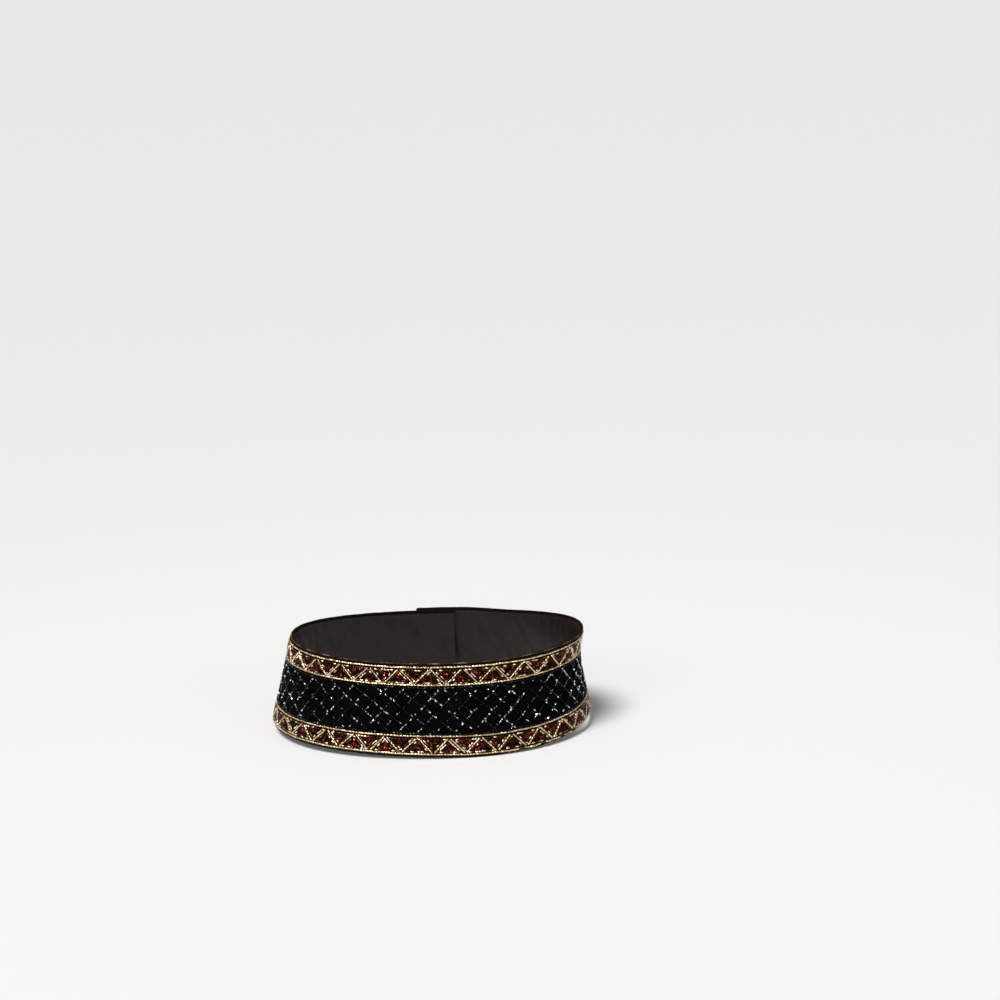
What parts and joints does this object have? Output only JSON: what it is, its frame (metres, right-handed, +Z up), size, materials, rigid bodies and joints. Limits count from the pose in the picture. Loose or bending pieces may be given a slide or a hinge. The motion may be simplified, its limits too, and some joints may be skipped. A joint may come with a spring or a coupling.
{
  "type": "beaded belt",
  "caption": "Wide velvet waist belt in its worn oval form, with beaded zigzag borders, a diamond net of black beads and a lapped back closure.",
  "frame": {"origin": "the middle of the waist ring, at mid height of the belt at centre front", "axes": "+Z up towards the narrower top edge, -Y towards the wearer's front, +X towards the wearer's left; the oval is widest along X and the belt is lowest along Z"},
  "size_m": [0.2849, 0.2415, 0.0847],
  "materials": {
    "velvet": "black cotton velvet, matte with a faint sheen where it turns away",
    "turned_edge": "velvet turned over a padded edge, its pile rubbed brown along the crest",
    "gold_beads": "silver-lined pale gold glass bugles, bright and glossy",
    "garnet_beads": "dark garnet cut glass beads, glossy",
    "black_beads": "opaque jet black glass bugles, glossy",
    "press_stud": "black lacquered brass"
  },
  "bodies": {
    "root": {"band": "velvet", "top_roll": "turned_edge", "bottom_roll": "turned_edge", "gold_row_1": "gold_beads", "gold_row_2": "gold_beads", "gold_row_3": "gold_beads", "gold_row_4": "gold_beads", "upper_fill": "garnet_beads", "upper_zigzag": "gold_beads", "lower_fill": "garnet_beads", "lower_zigzag": "gold_beads", "bead_net": "black_beads", "stud_socket_1": "press_stud", "stud_socket_2": "press_stud", "stud_socket_3": "press_stud", "stud_ball_1": "press_stud", "stud_ball_2": "press_stud", "stud_ball_3": "press_stud"}
  },
  "joints": []
}
